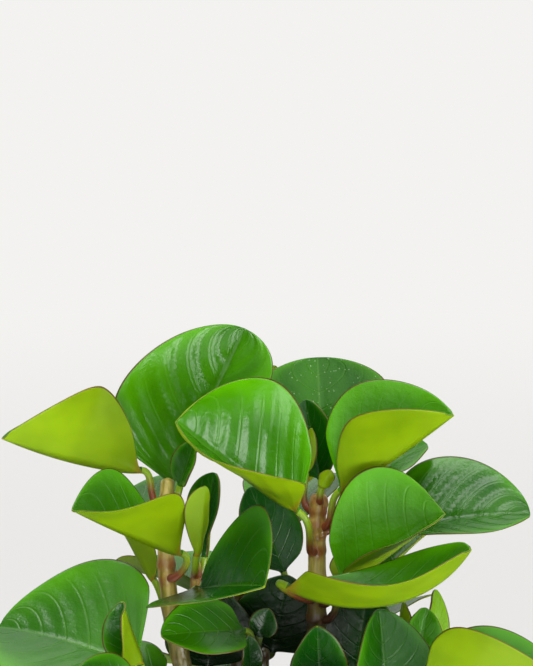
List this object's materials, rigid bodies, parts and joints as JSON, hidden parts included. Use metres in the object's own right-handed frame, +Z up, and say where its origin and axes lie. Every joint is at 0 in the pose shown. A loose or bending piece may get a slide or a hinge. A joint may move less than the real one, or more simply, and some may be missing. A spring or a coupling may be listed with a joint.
{
  "type": "potted house plant",
  "caption": "Peperomia with thick glossy leaves, folded along the midrib, on fleshy upright stems in a plain tapered pot.",
  "frame": {"origin": "middle of the pot's flat base", "axes": "+Z up the pot and the stems, -Y towards the front of the plant, +X to the right as seen from the front"},
  "size_m": [0.2506, 0.1985, 0.2963],
  "materials": {
    "pot_ceramic": "plain matte glaze",
    "potting_soil": "dark, loose and matte",
    "stem_bark": "smooth, fleshy, faintly glossy",
    "young_leaf": "smooth, glossy, pale",
    "leaf": "smooth and glossy, fleshy"
  },
  "bodies": {
    "root": {"pot": "pot_ceramic", "potting_soil": "potting_soil", "stem_left": "stem_bark", "stem_left_side": "stem_bark", "stem_right": "stem_bark", "stem_centre": "stem_bark", "stem_front_left": "stem_bark", "stem_front_right": "stem_bark", "stem_back": "stem_bark", "stem_back_right": "stem_bark", "leaf_left_outer": "leaf", "leaf_left_tall": "leaf", "leaf_left_cupped": "leaf", "leaf_top_front": "leaf", "leaf_top_back": "leaf", "leaf_top_dark": "leaf", "leaf_top_sliver": "young_leaf", "leaf_top_bud": "young_leaf", "leaf_top_right": "leaf", "leaf_right_shaded": "leaf", "leaf_right_outer": "leaf", "leaf_right_round": "leaf", "leaf_right_boat": "leaf", "leaf_right_young": "young_leaf", "leaf_left_behind": "leaf", "leaf_lower_left": "leaf", "leaf_left_young": "young_leaf", "leaf_left_slim": "leaf", "leaf_left_small": "leaf", "leaf_centre_open": "leaf", "leaf_centre_back": "leaf", "leaf_inner_centre": "leaf", "leaf_inner_left": "leaf", "leaf_inner_right": "leaf", "leaf_centre_low": "leaf", "leaf_centre_small": "leaf", "leaf_centre_upright": "leaf", "leaf_centre_deep": "leaf", "leaf_right_pointed": "leaf", "leaf_right_upright": "leaf", "leaf_right_thin": "leaf", "leaf_right_pale": "young_leaf", "leaf_lower_right": "leaf", "leaf_front_young": "young_leaf", "leaf_front_cup": "leaf", "leaf_back_tall": "leaf", "leaf_back_left": "leaf", "leaf_back_right_top": "leaf", "leaf_back_right": "leaf", "leaf_back_centre": "leaf", "leaf_back_low_left": "leaf", "leaf_back_low_right": "leaf", "leaf_back_low_centre": "leaf", "leaf_skirt_left": "leaf", "leaf_skirt_front_left": "leaf", "leaf_skirt_front": "leaf", "leaf_skirt_front_right": "leaf", "leaf_skirt_right": "leaf", "leaf_skirt_back_left": "leaf"}
  },
  "joints": []
}
